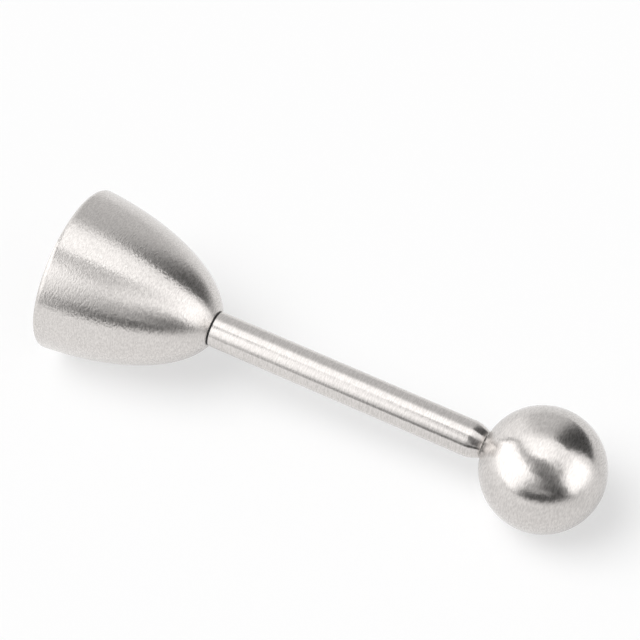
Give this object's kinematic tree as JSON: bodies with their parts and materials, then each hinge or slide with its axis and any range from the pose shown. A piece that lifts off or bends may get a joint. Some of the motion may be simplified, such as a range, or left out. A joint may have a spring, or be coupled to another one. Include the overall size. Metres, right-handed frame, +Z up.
{
  "type": "egg topper",
  "caption": "Spring-loaded egg topper: a bell-shaped steel cup on a slim tube, with a ball that is pulled and let go.",
  "frame": {"origin": "middle of the bottom of the bounding box, on the table that the tool lies on", "axes": "+X from the bell towards the ball, +Z up; the tool's own axis leans 2.55 degrees down towards the ball"},
  "size_m": [0.142, 0.0416, 0.0416],
  "materials": {
    "bell_steel": "satin, fine turning lines round the bell",
    "tube_steel": "fine turned, glossier than the bell",
    "ball_steel": "satin, brushed round the ball",
    "gasket_rubber": "black rubber",
    "screw_steel": "bright stainless fastener",
    "spring_steel": "drawn spring wire",
    "rod_steel": "ground and polished rod",
    "bush_plastic": "natural acetal"
  },
  "bodies": {
    "handle": {"bell": "bell_steel", "bell_gasket": "gasket_rubber", "bell_screw": "screw_steel", "bell_lock_washer": "screw_steel", "bell_washer": "screw_steel", "anvil_plug": "tube_steel", "handle_tube": "tube_steel", "tube_nose": "tube_steel", "guide_bush": "bush_plastic", "spring_seat": "screw_steel", "spring": "spring_steel"},
    "carriage": {"thrust_washer": "screw_steel"},
    "striker": {"striker_rod": "rod_steel", "hammer": "rod_steel", "hammer_pin": "rod_steel", "ball_insert": "ball_steel", "ball_neck_half": "ball_steel", "ball_end_half": "ball_steel"}
  },
  "joints": [
    {"name": "ball_pull", "type": "slide", "parent": "handle", "child": "carriage", "axis": [0.999, 0, -0.0444], "range_m": [0, 0.02], "stiffness_N_per_m": 580, "springref_m": -0.009, "deforming": ["spring"]},
    {"name": "ball_spin", "type": "hinge", "parent": "carriage", "child": "striker", "pos_m": [0.0558, 0, 0.01525], "axis": [0.999, 0, -0.0444], "continuous": true}
  ]
}
